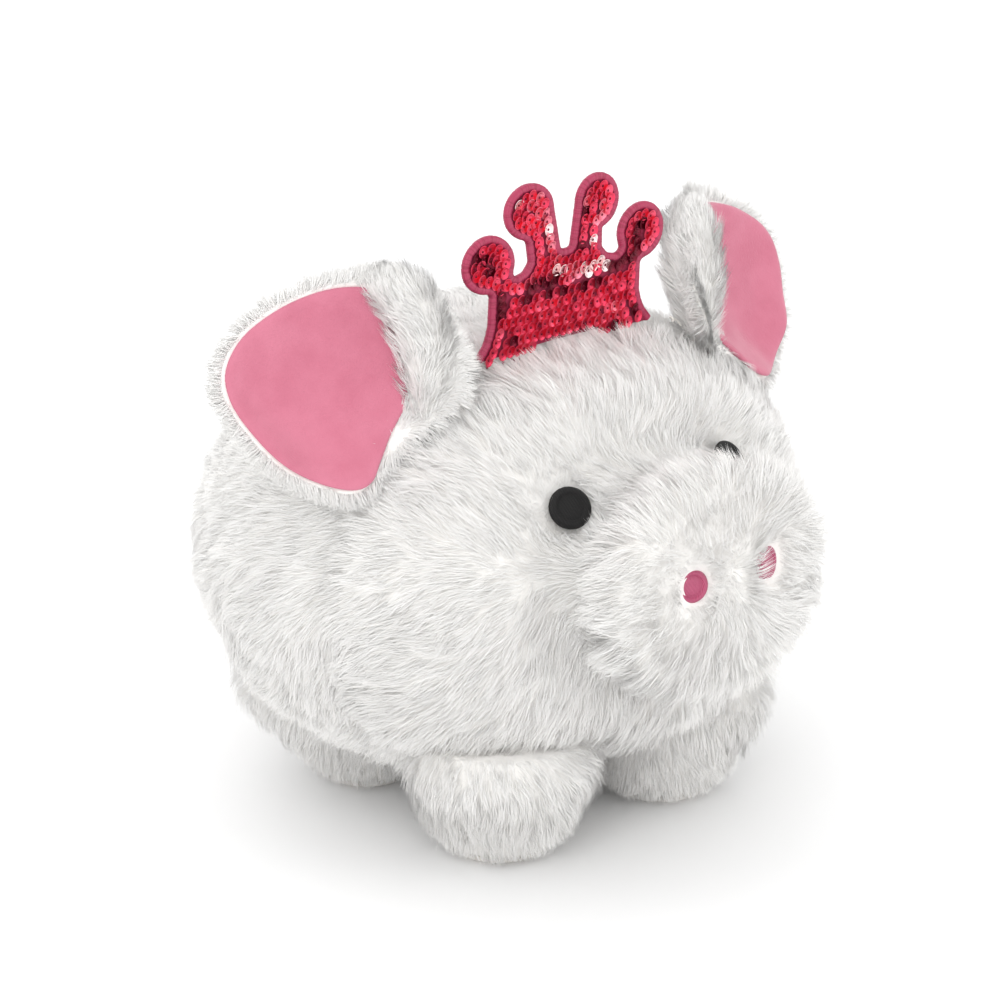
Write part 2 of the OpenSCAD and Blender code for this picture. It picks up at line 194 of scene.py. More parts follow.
# The whitish pink tone is a painted highlight and the darkest tone is mostly painted shade, both set by place
# on the crown; pink and rose sequins carry some painted highlight too, and the darkest tone is also the
# knots' own thread colour.
SEQUINS = [principled("sequin_" + tone, color, rough, Metallic=0.85, Coat_Weight=0.15, Coat_Roughness=0.1)
           for tone, color, rough in (
               ("crimson", (0.82, 0.05, 0.115), 0.36), ("rose", (0.92, 0.10, 0.18), 0.34),
               ("pink", (0.90, 0.22, 0.30), 0.30), ("painted_highlight", (1.0, 0.78, 0.78), 0.25),
               ("wine_and_painted_shade", (0.16, 0.004, 0.02), 0.36))]


# ------------ meshes
def make(name, verts, faces, materials, slot, smooth=True, index=None, normals=None):
    """A mesh object from millimetre vertices; faces is a list, or an array of triangles or quads."""
    mesh = bpy.data.meshes.new(name)
    verts = np.asarray(verts, np.float64) * MM
    if isinstance(faces, np.ndarray):
        mesh.vertices.add(len(verts))
        mesh.vertices.foreach_set("co", verts.astype(np.float32).ravel())
        mesh.loops.add(faces.size)
        mesh.loops.foreach_set("vertex_index", faces.astype(np.int32).ravel())
        mesh.polygons.add(len(faces))
        mesh.polygons.foreach_set("loop_start", np.arange(0, faces.size, faces.shape[1], dtype=np.int32))
        mesh.update(calc_edges=True)
    else:
        mesh.from_pydata(verts.tolist(), [], faces)
    for m in materials if isinstance(materials, list) else [materials]:
        mesh.materials.append(m)
    mesh.polygons.foreach_set("use_smooth", np.full(len(mesh.polygons), smooth))
    if index is not None:
        mesh.polygons.foreach_set("material_index", index.astype(np.int32))
    if normals is not None:
        attribute = mesh.attributes.new("custom_normal", "FLOAT_VECTOR", "POINT")
        attribute.data.foreach_set("vector", normals.astype(np.float32).ravel())
    mesh.update()
    obj = bpy.data.objects.new(name, mesh)
    bpy.context.scene.collection.objects.link(obj)
    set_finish(obj, slot)
    return obj


def triangles(obj):
    """(vertices in mm, triangles, vertex normals) of a mesh object."""
    mesh = obj.data
    mesh.calc_loop_triangles()
    v = np.empty(len(mesh.vertices) * 3, np.float32)
    mesh.vertices.foreach_get("co", v)
    n = np.empty(len(mesh.vertices) * 3, np.float32)
    mesh.vertices.foreach_get("normal", n)
    t = np.empty(len(mesh.loop_triangles) * 3, np.int32)
    mesh.loop_triangles.foreach_get("vertices", t)
    return v.reshape(-1, 3).astype(float) / MM, t.reshape(-1, 3), n.reshape(-1, 3).astype(float)


def lumps(p, size, seed):
    """Smooth noise of about -1 to 1, with features of roughly the given size in mm."""
    r = np.random.default_rng(seed)
    total = np.zeros(len(p))
    for _ in range(8):
        wave = unit(r.normal(size=3)) * 2 * math.pi / (size * r.uniform(0.8, 1.6))
        total += np.sin(p @ wave + r.uniform(0, 6.28))
    return total / 4


def gauss(x, width):
    """A bell of height 1 about zero."""
    return np.exp(-(x / width) ** 2)


def ramp(x, a, b):
    """Smooth rise from 0 at a to 1 at b."""
    t = np.clip((x - a) / (b - a), 0, 1)
    return t * t * (3 - 2 * t)


def lathe_faces(rows, sides):
    """Quads between closed rings that follow one another, and a cap on each end."""
    faces = []
    for i in range(rows - 1):
        for k in range(sides):
            j = (k + 1) % sides
            faces.append((i * sides + k, i * sides + j, (i + 1) * sides + j, (i + 1) * sides + k))
    return faces + [tuple(range(sides))[::-1], tuple(range((rows - 1) * sides, rows * sides))]


def tube_faces(rows, sides):
    """The same for rings that run the other way round."""
    faces = []
    for i in range(rows - 1):
        for k in range(sides):
            j = (k + 1) % sides
            faces.append((i * sides + k, (i + 1) * sides + k, (i + 1) * sides + j, i * sides + j))
    return faces + [tuple(range(sides)), tuple(range((rows - 1) * sides, rows * sides))[::-1]]


def revolve(profile, sides, place):
    """A lathe: profile holds (radius, height), and place maps (radius, angle, height) to points."""
    angle = np.arange(sides) * 2 * math.pi / sides
    r, h = np.repeat(profile[:, 0], sides), np.repeat(profile[:, 1], sides)
    return place(r, np.tile(angle, len(profile)), h), lathe_faces(len(profile), sides)


def spline(points, count):
    """Catmull-Rom through the points, evenly spaced."""
    p = np.asarray(points, float)
    p = np.vstack([2 * p[0] - p[1], p, 2 * p[-1] - p[-2]])
    rows = []
    for i in range(1, len(p) - 2):
        for t in np.linspace(0, 1, 24, endpoint=False):
            rows.append(0.5 * (2 * p[i] + (p[i + 1] - p[i - 1]) * t
                               + (2 * p[i - 1] - 5 * p[i] + 4 * p[i + 1] - p[i + 2]) * t * t
                               + (3 * p[i] - p[i - 1] - 3 * p[i + 1] + p[i + 2]) * t ** 3))
    rows.append(p[-2])
    rows = np.array(rows)
    run = np.concatenate([[0], np.cumsum(np.linalg.norm(np.diff(rows, axis=0), axis=1))])
    at = np.linspace(0, run[-1], count)
    return np.stack([np.interp(at, run, rows[:, k]) for k in range(rows.shape[1])], 1)


def tube(path, radii, sides):
    """Closed tube of varying radius along a path."""
    t = unit(np.gradient(path, axis=0))
    s = unit(np.cross(t, [0, 0, 1.0]))
    n = np.cross(s, t)
    a = np.arange(sides) * 2 * math.pi / sides
    ring = path[:, None] + radii[:, None, None] * (np.cos(a)[None, :, None] * s[:, None]
                                                   + np.sin(a)[None, :, None] * n[:, None])
    return ring.reshape(-1, 3), tube_faces(len(path), sides)


def right_of(path):
    """Unit normals on the right hand of a flat path."""
    t = unit(np.gradient(path, axis=0))
    return np.stack([t[:, 1], -t[:, 0]], 1)


# ------------ fur
def roots_on(obj, per_mm2, rng, keep=None):
    """Random roots and normals spread evenly over a skin."""
    v, t, n = triangles(obj)
    a, b, c = v[t[:, 0]], v[t[:, 1]], v[t[:, 2]]
    area = np.linalg.norm(np.cross(b - a, c - a), axis=1) / 2
    count = int(area.sum() * per_mm2)
    pick = rng.choice(len(t), count, p=area / area.sum())
    u, w = rng.random((2, count))
    over = u + w > 1
    u[over], w[over] = 1 - u[over], 1 - w[over]
    mix = np.stack([1 - u - w, u, w], 1)[:, :, None]
    p = (v[t[pick]] * mix).sum(1)
    m = unit((n[t[pick]] * mix).sum(1))
    if keep is not None:
        k = keep(p, m)
        p, m = p[k], m[k]
    return p, m


def turned(v, axis, angle):
    """v turned about unit axes by angles, row by row."""
    c, s = np.cos(angle)[:, None], np.sin(angle)[:, None]
    return v * c + np.cross(axis, v) * s + axis * (v * axis).sum(1, keepdims=True) * (1 - c)


def clumps(p, size, rng):
    """Index of each root's tuft: cells of a turned, warped grid."""
    q, _ = np.linalg.qr(rng.normal(size=(3, 3)))
    warp = np.stack([lumps(p, size * 2.3, int(rng.integers(1 << 30))) for _ in range(3)], 1)
    cell = np.floor((p @ q + 0.45 * size * warp) / size).astype(np.int64)
    key = cell[:, 0] * 73856093 ^ cell[:, 1] * 19349663 ^ cell[:, 2] * 83492791
    _, index = np.unique(key, return_inverse=True)
    return index.ravel()


def per_tuft(index, values):
    """Mean of the values over each tuft, given back to every root."""
    n = index.max() + 1
    count = np.bincount(index, minlength=n)
    return np.stack([np.bincount(index, v, n) / count for v in values.T], 1)[index]


def strands(p, n, flow, length, rng, width=0.185, size=5.0, pull=0.25, tilt=(64, 76), stray=0.19):
    """Points (root, bend, tip), widths and shading normals of combed and tufted strands.

    tilt holds the angles of the lower and the upper half from the skin's normal, in degrees; pull draws the
    strands of a tuft together, and stray turns whole tufts.
    """
    tuft = clumps(p, size, rng)
    many = tuft.max() + 1
    flow = unit(flow - (flow * n).sum(1, keepdims=True) * n)
    swing = rng.normal(0, stray, many)[tuft] + rng.normal(0, 0.2, len(p)) + 0.5 * lumps(p, 26, 91)
    flow = turned(flow, n, swing)
    lift = np.radians(rng.normal(0, 5, many)[tuft] + rng.normal(0, 3.5, len(p)))
    a, b = (np.radians(x) + lift for x in tilt)
    long = length * (1 + rng.normal(0, 0.10, many)[tuft] + rng.normal(0, 0.08, len(p)))
    root = p - 0.6 * n
    bend = p + 0.5 * long[:, None] * (n * np.cos(a)[:, None] + flow * np.sin(a)[:, None])
    tip = bend + 0.55 * long[:, None] * (n * np.cos(b)[:, None] + flow * np.sin(b)[:, None])
    to_bend, to_tip = per_tuft(tuft, bend), per_tuft(tuft, tip)
    pulled = pull * np.clip(1 + rng.normal(0, 0.2, len(p)), 0.3, 1.25)[:, None]
    bend = bend + 0.42 * pulled * (to_bend - bend)
    tip = tip + pulled * (to_tip - tip)
    soft = unit(n + 0.12 * unit(rng.normal(size=(many, 3)))[tuft] + 0.07 * unit(rng.normal(size=(len(p), 3))))
    return root, bend, tip, width * (1 + rng.normal(0, 0.15, len(p))), soft


ROUNDNESS = (1.1, 1.1, 0.75)                # how far each edge of a strand turns its shading


def fur(name, slot, rng, root, bend, tip, width, soft):
    """One piece of pile. Each strand is a closed, flattened, three-sided spike, bent once, broad side out.

    A strand is shaded half as the skin under it faces, because light passes through white pile.
    """
    count = len(root)
    along = unit(tip - root)
    side = unit(np.cross(unit(soft) + 0.25 * rng.normal(size=(count, 3)), along))
    other = np.cross(along, side)
    verts, normals = np.empty((count, 7, 3)), np.repeat(unit(soft)[:, None], 7, axis=1)
    for k, spoke in enumerate((side, -side, -0.6 * other)):
        normals[:, [k, 3 + k]] += ROUNDNESS[k] * unit(spoke)[:, None]
        spoke = spoke * width[:, None] / 2
        verts[:, k] = root + spoke
        verts[:, 3 + k] = bend + 0.85 * spoke
    verts[:, 6] = tip
    one = np.array([(0, 1, 4), (0, 4, 3), (1, 2, 5), (1, 5, 4), (2, 0, 3), (2, 3, 5),
                    (3, 4, 6), (4, 5, 6), (5, 3, 6), (2, 1, 0)])
    faces = (one[None] + 7 * np.arange(count)[:, None, None]).reshape(-1, 3)
    tone = rng.choice(len(PILES), count, p=(0.26, 0.26, 0.2, 0.1, 0.18))
    return make(name, verts.reshape(-1, 3), faces, PILES, slot, index=np.repeat(tone, len(one)),
                normals=unit(normals.reshape(-1, 3)))


def away_from_spots(p, flow, length):
    """Pile near an eye or a nostril is combed away from it and cut shorter."""
    length = np.full(len(p), length, float)
    for spots, r in ((EYES, EYE_R), (NOSTRILS, NOSTRIL_R)):
        for at in spots.values():
            out = p - at
            d = np.linalg.norm(out, axis=1)
            w = 1 - ramp(d, r + 1.0, r + 7.5)
            flow = flow * (1 - w[:, None]) + unit(out) * w[:, None]
            length *= 1 - 0.42 * w
    return flow, length


def clear_of_spots(p):
    """Which roots lie off the embroidery."""
    keep = np.ones(len(p), bool)
    for spots, r in ((EYES, EYE_R), (NOSTRILS, NOSTRIL_R)):
        for at in spots.values():
            keep &= np.linalg.norm(p - at, axis=1) > r - 0.2
    return keep


# ------------ body skins
def shell_points(u):
    """The body's skin for unit directions of the unstretched ball."""
    p = BODY + HALF * u
    n = unit(u / HALF)
    d = 1.3 * lumps(p, 60, 3) + 0.5 * lumps(p, 22, 4) + 0.25 * lumps(p, 8, 5)
    above = ramp(p[:, 2], BELLY_Z - 2, BELLY_Z + 8)
    d -= 3.0 * gauss(p[:, 1] - SEAM_Y, 3.6) * above
    d -= 1.4 * gauss(p[:, 2] - BELLY_Z, 3.0)
    d -= 1.2 * gauss(p[:, 0], 2.8) * above * ramp(p[:, 1], SEAM_Y, SEAM_Y + 6)
    for at in EYES.values():
        d -= (1.2 + UNDERFUR) * gauss(np.linalg.norm(p - at, axis=1), 11)
    ring = np.hypot(p[:, 0] / (SNOUT_R[0] + 5), (p[:, 2] - SNOUT[2]) / (SNOUT_R[2] + 5))
    front = ramp(p[:, 1], SNOUT[1] + 60, SNOUT[1] + 30)
    d -= (3.5 + 0.5 * UNDERFUR) * gauss((ring - 1) * 40, 9) * front
    return p + d[:, None] * n


def body_skins():
    bm = bmesh.new()
    bmesh.ops.create_icosphere(bm, subdivisions=6, radius=1.0)
    u = np.array([v.co for v in bm.verts])
    for v, co in zip(bm.verts, shell_points(u)):
        v.co = co
    cuts = {"face_skin": ((0, SEAM_Y, 0), (0, 1, 0), "face_panel"),
            "back_left_skin": ((0, 0, 0), (-1, 0, 0), "back_panel_left"),
            "back_right_skin": ((0, 0, 0), (1, 0, 0), "back_panel_right")}
    made = {}

    def keep(part, at, away):
        geom = part.verts[:] + part.edges[:] + part.faces[:]
        bmesh.ops.bisect_plane(part, geom=geom, plane_co=at, plane_no=away, clear_outer=True)

    for name, (at, away, panel) in cuts.items():
        part = bm.copy()
        keep(part, (0, 0, BELLY_Z), (0, 0, -1))
        if name != "face_skin":
            keep(part, (0, SEAM_Y, 0), (0, -1, 0))
        keep(part, at, away)
        made[name] = (part, [panel])
    belly = bm.copy()
    keep(belly, (0, 0, BELLY_Z), (0, 0, 1))
    made["belly_skin"] = (belly, ["belly_panel", "body_stuffing"])
    skins = {}
    for name, (part, nodes) in made.items():
        part.verts.index_update()
        obj = make(name, [v.co[:] for v in part.verts], [[v.index for v in f.verts] for f in part.faces],
                   SKIN, "plush")
        part.free()
        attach(obj, "body")
        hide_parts(*nodes)
        skins[name] = obj
    bm.free()
    return skins


def snout_place(r, a, h):
    """Lathe about the snout's axis: radius is for its width, and h is distance forwards."""
    squash = SNOUT_R[2] / SNOUT_R[0]
    return np.stack([r * np.cos(a), -h, SNOUT[2] + r * np.sin(a) * squash], 1)


def snout_skins():
    r, tip, seam = SNOUT_R[0], -SNOUT_TIP, -SNOUT[1] + 1.0
    band = spline([(r - 8, seam - 40), (r - 6.5, seam - 24), (r - 3.0, seam - 18), (r - 0.2, seam - 12),
                   (r + 0.8, seam - 6), (r - 0.8, seam - 1.4), (r - 2.6, seam + 0.2)], 36)
    front = spline([(r - 2.6, seam + 0.2), (r - 4.4, seam + 1.6), (r - 9, tip - 3.6), (r - 16, tip - 1.4),
                    (r - 25, tip - 0.3), (0.6, tip - 0.9)], 40)
    out = []
    for name, profile, nodes in (("snout_band_skin", band, ["snout_band"]),
                                 ("snout_front_skin", front, ["snout_front", "snout_stuffing"])):
        verts, faces = revolve(profile, 96, snout_place)
        faces = faces[:-2] if name == "snout_band_skin" else faces[:-2] + [faces[-1]]
        centre = np.array([0, verts[:, 1].mean() + 12, SNOUT[2]])
        n = unit(verts - centre)
        verts = verts + (0.6 * lumps(verts, 26, 11))[:, None] * n
        for at in NOSTRILS.values():
            dent = gauss(np.linalg.norm((verts - at)[:, [0, 2]], axis=1), 8.0)
            verts[:, 1] += 5.0 * dent * (verts[:, 1] < -seam)
        obj = make(name, verts, faces, SKIN, "plush")
        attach(obj, "body")
        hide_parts(*nodes)
        out.append(obj)
    return out


# ------------ feet
def foot_skin(name, at):
    outward = math.atan2(at[1] - BODY[1], at[0])
    toe = 15 if name.startswith("rear") else 8
    profile = spline([(13, 1.9), (16.2, 3.2), (19.6, 7), (22, 13), (23, 19), (23.4, 26), (24.4, 33),
                      (23, 42)], 30)

    def place(r, a, h):
        side = (0.5 + 0.5 * np.cos(a - outward)) ** 1.4
        r = r + side * toe * ramp(h, 9, 34)
        return np.stack([at[0] + r * np.cos(a), at[1] + r * np.sin(a), h], 1)

    verts, faces = revolve(profile, 64, place)
    verts += (0.5 * lumps(verts, 24, 17))[:, None] * unit(verts - [at[0], at[1], 20]) * (verts[:, 2:] > 3)
    obj = make("foot_%s_skin" % name, verts, faces, SKIN, "plush")
    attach(obj, "body")
    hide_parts("foot_" + name, "foot_stuffing_" + name)
    return obj


def sole_pad(name, at):
    """The flat underside of a foot, 4 mm inside the pile's edge."""
    lo, hi = box("sole_" + name)
    edge = (hi[0] - lo[0]) / 2 - 4
    rim = spline([(0.4, 0.35), (edge * 0.5, 0.3), (edge - 3, 0.2), (edge - 0.8, 0.25), (edge - 0.2, 0.9),
                  (edge - 1.6, 2.4), (edge * 0.5, 2.8), (0.4, 2.9)], 34)

    def place(r, a, h):
        return np.stack([at[0] + r * np.cos(a), at[1] + r * np.sin(a), h], 1)

    verts, faces = revolve(rim, 72, place)
    sole = make("sole_%s_pad" % name, verts, faces, SOLE, "sole_plush")
    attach(sole, "body")
    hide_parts("sole_" + name)


def foot_skins():
    made = {}
    for name, at in FEET.items():
        made[name] = foot_skin(name, at)
        sole_pad(name, at)
    return made


# ------------ embroidery
def stitched_disc(name, node_name, at, out, r, rise, material, slot):
    """A padded satin-stitched disc with a raised ring, sunk at its rim, seen along `out`."""
    side = unit(np.cross([0, 0, 1.0], out))
    up = np.cross(out, side)
    profile = spline([(0.05, rise * 0.80), (0.30 * r, rise * 0.84), (0.50 * r, rise * 0.72),
                      (0.60 * r, rise * 0.62), (0.70 * r, rise * 0.98), (0.80 * r, rise * 1.0),
                      (0.90 * r, rise * 0.72), (1.0 * r, -0.2), (0.96 * r, -1.5)], 44)

    def place(q, a, h):
        thread = 0.06 * np.sin(a * 48) * ramp(q, 0.5 * r, 0.75 * r)
        return (q * np.cos(a))[:, None] * side + (q * np.sin(a))[:, None] * up + (h + thread)[:, None] * out

    verts, faces = revolve(profile, 96, place)
    obj = make(name, verts, [f[::-1] for f in faces], material, slot)
    obj.matrix_world = placed_at(at, side, up, out, obj)
    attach(obj, "body")
    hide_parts(node_name)


def placed_at(at, side, up, out, obj):
    """Moves a mesh to its place by its object matrix, so its texture keeps its own axes."""
    basis = Matrix([[*side], [*up], [*out]]).transposed().to_4x4()
    obj.data.transform(basis.inverted())
    basis.translation = [float(c) * MM for c in at]
    return basis


def eyes_and_nostrils():
    for s, k in SIDES.items():
        out = unit((EYES[s] - BODY) / HALF ** 2)
        stitched_disc("eye_%s_disc" % s, "eye_" + s, EYES[s] + 0.2 * out, out, EYE_R, 1.2,
                      EYE_THREAD, "black_thread")
        stitched_disc("nostril_%s_disc" % s, "nostril_" + s, NOSTRILS[s], unit([k * 0.36, -0.92, 0.12]),
                      NOSTRIL_R, 1.7, NOSTRIL_THREAD, "pink_thread")


# ------------ ears
# An ear is drawn in its own space: x along its seam outwards, y up the ear, z forwards.
EAR_OUT = unit([0.845, 0.10, -0.523])
EAR_FRONT = unit(np.cross(EAR_OUT, [0.437, 0.431, 0.789]))
EAR_UP = np.cross(EAR_FRONT, EAR_OUT)
EAR_AXES = np.stack([EAR_OUT, EAR_UP, EAR_FRONT])
EAR_RIM = [(-20, -7), (-26, 0), (-29, 12), (-29, 24), (-25, 34), (-17, 41), (-7, 45.2), (5, 48.6), (19, 49.3),
           (29.2, 45.6), (35, 38.4), (36.7, 28), (36.2, 14), (31.4, 1.5), (25, -7.3), (18, -9.6), (6, -8.5),
           (-8, -8.5)]
PINK_RIM = [(-8, 1), (-14, 10), (-18.5, 20), (-20.5, 29), (-18.5, 36), (-9, 42.8), (5, 47.3), (19, 48.2),
            (29.2, 44.6), (34.2, 37.4), (35.8, 27.5), (35.3, 14), (30.4, 2), (24.2, -6.4), (18, -8.6),
            (11, -6), (4, -3), (-2, -1)]
EAR_FOLD = [(-8, -8, 0), (-14.5, 1, 2.5), (-21, 12, 5), (-24.5, 21, 6), (-24.5, 28.5, 5), (-20.5, 35.5, 2)]
EAR_MIDDLE = np.array([4.0, 21.0])


def cup(x, y):
    """Depth of the ear's sheet: hollow in the middle, its outer and lower rim curled forwards."""
    z = -5.5 + ((x - 8) ** 2 + (y - 22) ** 2) / 130
    z += 5.0 * ramp(x, 24, 40) * ramp(y, 44, 14)
    z += 5.0 * ramp(-x, 8, 32)
    z += 3.5 * ramp(-y, -10, 10)
    return z


def ear_sheet(rim, front, back, bulge, rings=12, count=96):
    """A closed sheet inside a rim outline, between two offsets from the cup; its edge is rounded."""
    outline = spline(rim + [rim[0]], count + 1)[:-1]
    scales = [*np.linspace(0.04, 0.9, rings - 3), 0.95, 0.985, 1.0]
    half = (front - back) / 2

    def ring(s, off, face):
        inset = half * (1 - math.sqrt(max(0.0, 1 - max(0.0, (s - 0.9) / 0.1) ** 2)))
        p = EAR_MIDDLE + (outline - EAR_MIDDLE) * s
        z = cup(p[:, 0], p[:, 1]) + off
        return np.stack([p[:, 0], p[:, 1], z - face * inset], 1)

    verts = [ring(s, front + bulge * (1 - s * s), 1) for s in scales]
    verts += [ring(s, back - bulge * 0.5 * (1 - s * s), -1) for s in scales[-2::-1]]
    return np.vstack(verts), lathe_faces(len(verts), count), outline


def ear_place(verts, side):
    """From the left ear's own space to the row frame, mirrored for the right ear."""
    return (verts @ EAR_AXES) * [SIDES[side], 1, 1] + pivot("ear_%s_flop" % side)


def ear_space(p, side):
    """From the row frame to an ear's own space."""
    return ((p - pivot("ear_%s_flop" % side)) * [SIDES[side], 1, 1]) @ EAR_AXES.T


def pink_outline():
    return spline(PINK_RIM + [PINK_RIM[0]], 90)[:-1]


def in_a_lining(p):
    """Which points stand in an ear's velour, where the head's pile can't come through."""
    pink = pink_outline()
    hit = np.zeros(len(p), bool)
    for side in SIDES:
        q = ear_space(p, side)
        depth = q[:, 2] - cup(q[:, 0], q[:, 1])
        hit |= (depth > -3.5) & (depth < 5) & inside(q[:, :2], pink)
    return hit


def hinged(obj):
    """Bakes an ear piece's placement into its mesh."""
    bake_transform(obj)


def ear_piece(part, side, verts, faces, material, slot):
    """One layer of an ear, in its own space until here."""
    if side == "right":
        faces = [f[::-1] for f in faces]
    return make("ear_%s_%s" % (side, part), ear_place(verts, side), faces, material, slot)


def ear_back(side):
    verts, faces, outline = ear_sheet(EAR_RIM, -0.9, -4.4, 0.8)
    back = ear_piece("back_skin", side, verts, faces, SKIN, "plush")
    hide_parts("ear_%s_back" % side)
    return back, outline


def ear_lining(side):
    verts, faces, _ = ear_sheet(PINK_RIM, 1.3, -1.2, 0.7, rings=22, count=120)
    front = (verts[:, 2] - cup(verts[:, 0], verts[:, 1])) > 0
    verts[:, 2] += 0.45 * lumps(verts, 17, 31) * front
    lining = ear_piece("lining_velour", side, verts, faces, VELOUR, "pink_velour")
    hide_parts("ear_%s_lining" % side)
    return lining


def ear_fold(side):
    """The inner edge of an ear, rolled forwards."""
    radii = np.interp(np.linspace(0, 1, 40), [0, 0.2, 0.5, 0.75, 0.9, 1], [2.0, 5.0, 7.2, 7.0, 5.2, 2.5])
    verts, faces = tube(spline(EAR_FOLD, 40), radii, 24)
    verts += (0.5 * lumps(verts, 14, 23))[:, None] * unit(verts - [-22, 20, 3])
    return ear_piece("fold", side, verts, faces, SKIN, "plush")


def ears():
    made = {}
    for side in SIDES:
        back, outline = ear_back(side)
        lining = ear_lining(side)
        fold = ear_fold(side)
        for layer, fill in ((back, 0.4), (fold, 0.7), (lining, 0.3)):
            hinged(layer)
        made[side] = (back, fold, outline)
    return made


# ------------ crown
def front_outline(node_name):
    """The outline of a flat CAD piece's front face, in order, as (x, z)."""
    v, t, _ = triangles(frame["nodes"][node_name])
    key = np.round(v, 3)
    flat = key[:, 1] < key[:, 1].min() + 0.01
    edges = {}
    for tri in t[flat[t].all(1)]:
        c = [tuple(key[i][[0, 2]]) for i in tri]
        for a, b in ((c[0], c[1]), (c[1], c[2]), (c[2], c[0])):
            if a != b:
                edges.setdefault(frozenset((a, b)), []).append((a, b))
    after = {a: b for pair in edges.values() if len(pair) == 1 for a, b in pair}
    start = min(after)
    loop = [start]
    while after[loop[-1]] != start and len(loop) <= len(after):
        loop.append(after[loop[-1]])
    return np.array(loop)


def inside(points, polygon):
    """Which flat points a polygon holds."""
    a, b = polygon, np.roll(polygon, -1, 0)
    x, y = points[:, None, 0], points[:, None, 1]
    crosses = (a[:, 1] > y) != (b[:, 1] > y)
    rise = np.where(b[:, 1] == a[:, 1], 1e-9, b[:, 1] - a[:, 1])
    at = a[:, 0] + (y - a[:, 1]) * (b[:, 0] - a[:, 0]) / rise
    return ((crosses & (x < at)).sum(1) % 2).astype(bool)


def distance_to(points, path, closed=True):
    """Distances from flat points to a path of straight pieces."""
    a, b = (path, np.roll(path, -1, 0)) if closed else (path[:-1], path[1:])
    ab = b - a
    t = (((points[:, None] - a) * ab).sum(2) / np.maximum((ab ** 2).sum(1), 1e-9)).clip(0, 1)
    return np.linalg.norm(points[:, None] - (a + t[..., None] * ab), axis=2).min(1)


def resampled(path, step):
    """The path at even steps."""
    run = np.concatenate([[0], np.cumsum(np.linalg.norm(np.diff(path, axis=0), axis=1))])
    at = np.linspace(0, run[-1], int(run[-1] / step))
    return np.stack([np.interp(at, run, path[:, k]) for k in range(path.shape[1])], 1)


CROWN_ARCH = 1.6                            # how far its cloth arches up at the middle of the foot


def crown_edge():
    """The inner edge of the satin border, from one foot over the lobes to the other, as (x, z)."""
    outline = front_outline("crown_front")
    base = outline[:, 1].min()
    raised = outline[:, 1] > base + 0.05
    first = next(i for i in range(len(outline)) if not raised[i - 1] and raised[i])
    upper = np.roll(outline, -first, 0)[: int(raised.sum())]
    if upper[0, 0] > 0:
        upper = upper[::-1]
    foot, waist = box("crown_hem")[0][2], abs(upper[0, 0])
    side = spline([(waist + 5.6, foot), (waist + 2.2, foot + 4.4), (waist + 0.3, base),
                   (waist, base + 2.5)], 16)[:-1]
    upper = upper[(upper[:, 1] > base + 2.5)]
    # the sewn lobes differ a little: the two on the pig's right are broader
    lobes = ((-30.7, 186, 0.4, 0.26, 0), (-13.8, 199.8, -1.2, 0.24, -0.3), (13.8, 199.8, -1.2, 0.0, -1.8),
             (30.7, 186, 0.8, 0.05, 0))
    shaped = upper.copy()
    for x, z, push, widen, lift in lobes:
        near = gauss(np.linalg.norm(upper - [x, z], axis=1), 12)
        shaped += near[:, None] * np.stack([push + widen * (upper[:, 0] - x), np.full(len(upper), lift)], 1)
    return np.vstack([side * [-1, 1], shaped, side[::-1]])


def crown_foot(edge):
    """The lower edge of the crown, arched over the head."""
    x = np.linspace(edge[-1, 0], edge[0, 0], 24)[1:-1]
    return np.stack([x, edge[0, 1] + CROWN_ARCH * (1 - (x / edge[0, 0]) ** 2)], 1)


def sequin_spots(edge, r):
    """Strings of sequins: one along the border, level rows across the foot, rings in the lobes."""
    whole = np.vstack([edge, crown_foot(edge)])
    band = edge[0, 1] + 20.5
    line = resampled(edge, 0.25)
    inward = right_of(line)
    spots = np.empty((0, 2))

    def add(points, apart):
        nonlocal spots
        for p in points:
            if not len(spots) or np.linalg.norm(spots - p, axis=1).min() > apart:
                spots = np.vstack([spots, p])

    for k, d in enumerate((1.6, 4.2, 6.7)):
        ring = line + d * inward
        ok = (distance_to(ring, edge, closed=False) > d - 0.1) & inside(ring, whole)
        if k:
            ok &= ring[:, 1] > band
        add(ring[ok], 2.75 if k == 0 else 2.35)
    rows = np.arange(edge[0, 1] + 1.4, band + 1.2, 3.0)
    for j, z in enumerate(rows):
        x = np.arange(-13, 13.1) * 2.85 + (j % 2) * 1.4
        row = np.stack([x, np.full(len(x), z)], 1)
        row = row[inside(row, whole)]
        add(row[distance_to(row, edge, closed=False) > 3.4], 2.1)
    return spots + r.normal(0, 0.10, spots.shape)


def cupped_disc(sides=14):
    """Vertices and quads of one pierced, cupped disc that faces -Y."""
    angle = np.arange(sides) * 2 * math.pi / sides
    radii, heights = np.array([0.40, 1.15, 1.88, 2.02]), np.array([0.0, 0.10, 0.42, 0.40])
    disc = np.stack([np.outer(radii, np.cos(angle)), np.repeat(-heights[:, None], sides, 1),
                     np.outer(radii, np.sin(angle))], 2).reshape(-1, 3)
    disc = np.vstack([disc, disc + [0, 0.09, 0]])
    n, quads = len(radii) * sides, []
    for i in range(len(radii) - 1):
        for k in range(sides):
            j = (k + 1) % sides
            a, b, c, d = i * sides + k, i * sides + j, (i + 1) * sides + j, (i + 1) * sides + k
            quads += [(d, c, b, a), (n + a, n + b, n + c, n + d)]
    last = (len(radii) - 1) * sides
    for k in range(sides):
        j = (k + 1) % sides
        quads += [(last + k, n + last + k, n + last + j, last + j), (j, n + j, n + k, k)]
    return disc, np.array(quads)


